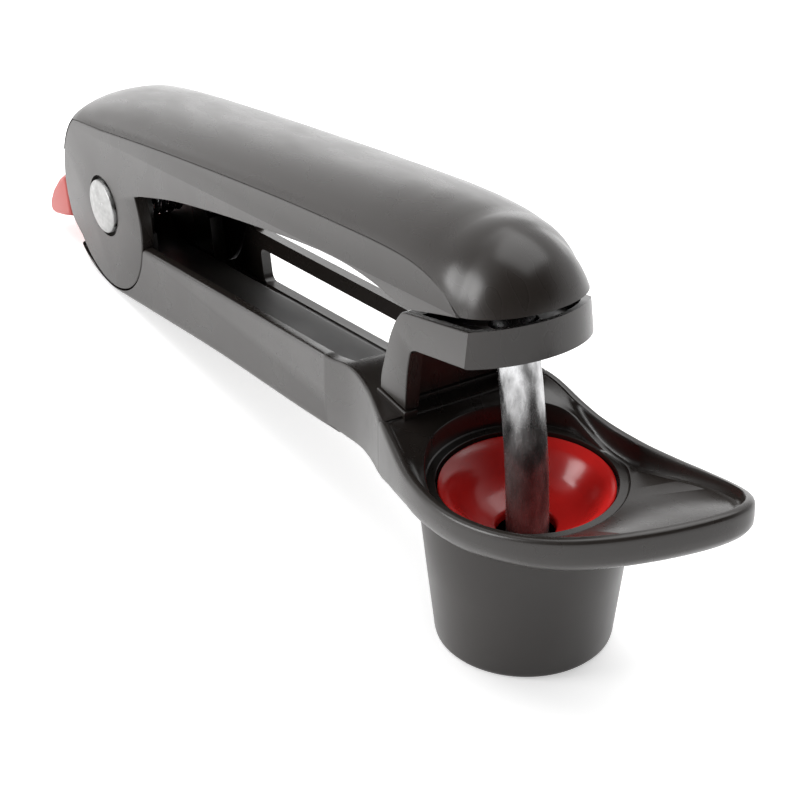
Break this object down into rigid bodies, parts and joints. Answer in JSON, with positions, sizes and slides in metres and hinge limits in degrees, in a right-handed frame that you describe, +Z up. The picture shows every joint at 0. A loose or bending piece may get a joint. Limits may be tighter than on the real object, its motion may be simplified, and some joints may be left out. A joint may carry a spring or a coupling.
{
  "type": "cherry and olive pitter",
  "caption": "Hand-held lever fruit pitter: hinged handles, bent steel plunger, red fruit cup in a spouted tray, stripper plate, pit cup and sliding lock.",
  "frame": {"origin": "centre of the pit cup's flat underside, on the surface it stands on", "axes": "+Z up along the cup's axis, +X from the hinge towards the tray's lip, +Y towards the side that the pouring lip points to"},
  "size_m": [0.1984, 0.0418, 0.0723],
  "materials": {
    "handle_plastic": "satin moulded plastic",
    "inner_plastic": "dark matt moulded plastic",
    "guard_plastic": "satin moulded plastic",
    "red_gloss": "polished moulded plastic",
    "red_satin": "satin moulded plastic",
    "steel": "polished, finely drawn",
    "cap_metal": "satin",
    "spring_steel": "drawn wire"
  },
  "bodies": {
    "lower_handle": {"lower_shell": "handle_plastic", "channel_liner": "inner_plastic", "visor": "handle_plastic", "visor_screw_near": "steel", "visor_screw_far": "steel", "hinge_bush_near": "inner_plastic", "hinge_bush_far": "inner_plastic", "hinge_washer_near": "steel", "hinge_washer_far": "steel", "torsion_spring": "spring_steel"},
    "lever": {"lever_frame": "handle_plastic", "lever_cover": "handle_plastic", "cover_screw_rear": "steel", "cover_screw_front": "steel", "plunger_rod": "steel", "plunger_carrier": "inner_plastic", "plunger_cross_pin": "steel", "hinge_pin": "steel", "pin_cap_near": "cap_metal", "pin_cap_far": "cap_metal"},
    "lock": {"lock_slider": "red_satin"},
    "fruit_cup": {"cherry_cup": "red_gloss"},
    "pit_cup": {"pit_guard": "guard_plastic"}
  },
  "joints": [
    {"name": "lever_hinge", "type": "hinge", "parent": "lower_handle", "child": "lever", "pos_m": [-0.133, 0, 0.0174], "axis": [0, -1, 0], "range_deg": [0, 18], "deforming": ["torsion_spring"]},
    {"name": "lock_slide", "type": "slide", "parent": "lower_handle", "child": "lock", "axis": [-0.9781, 0, -0.2079], "range_m": [0, 0.0045]},
    {"name": "fruit_cup_lift", "type": "slide", "parent": "lower_handle", "child": "fruit_cup", "axis": [0, 0, 1], "range_m": [0, 0.008]},
    {"name": "pit_cup_twist", "type": "hinge", "parent": "lower_handle", "child": "pit_cup", "pos_m": [0, 0, 0], "axis": [0, 0, 1], "range_deg": [0, 30]}
  ]
}
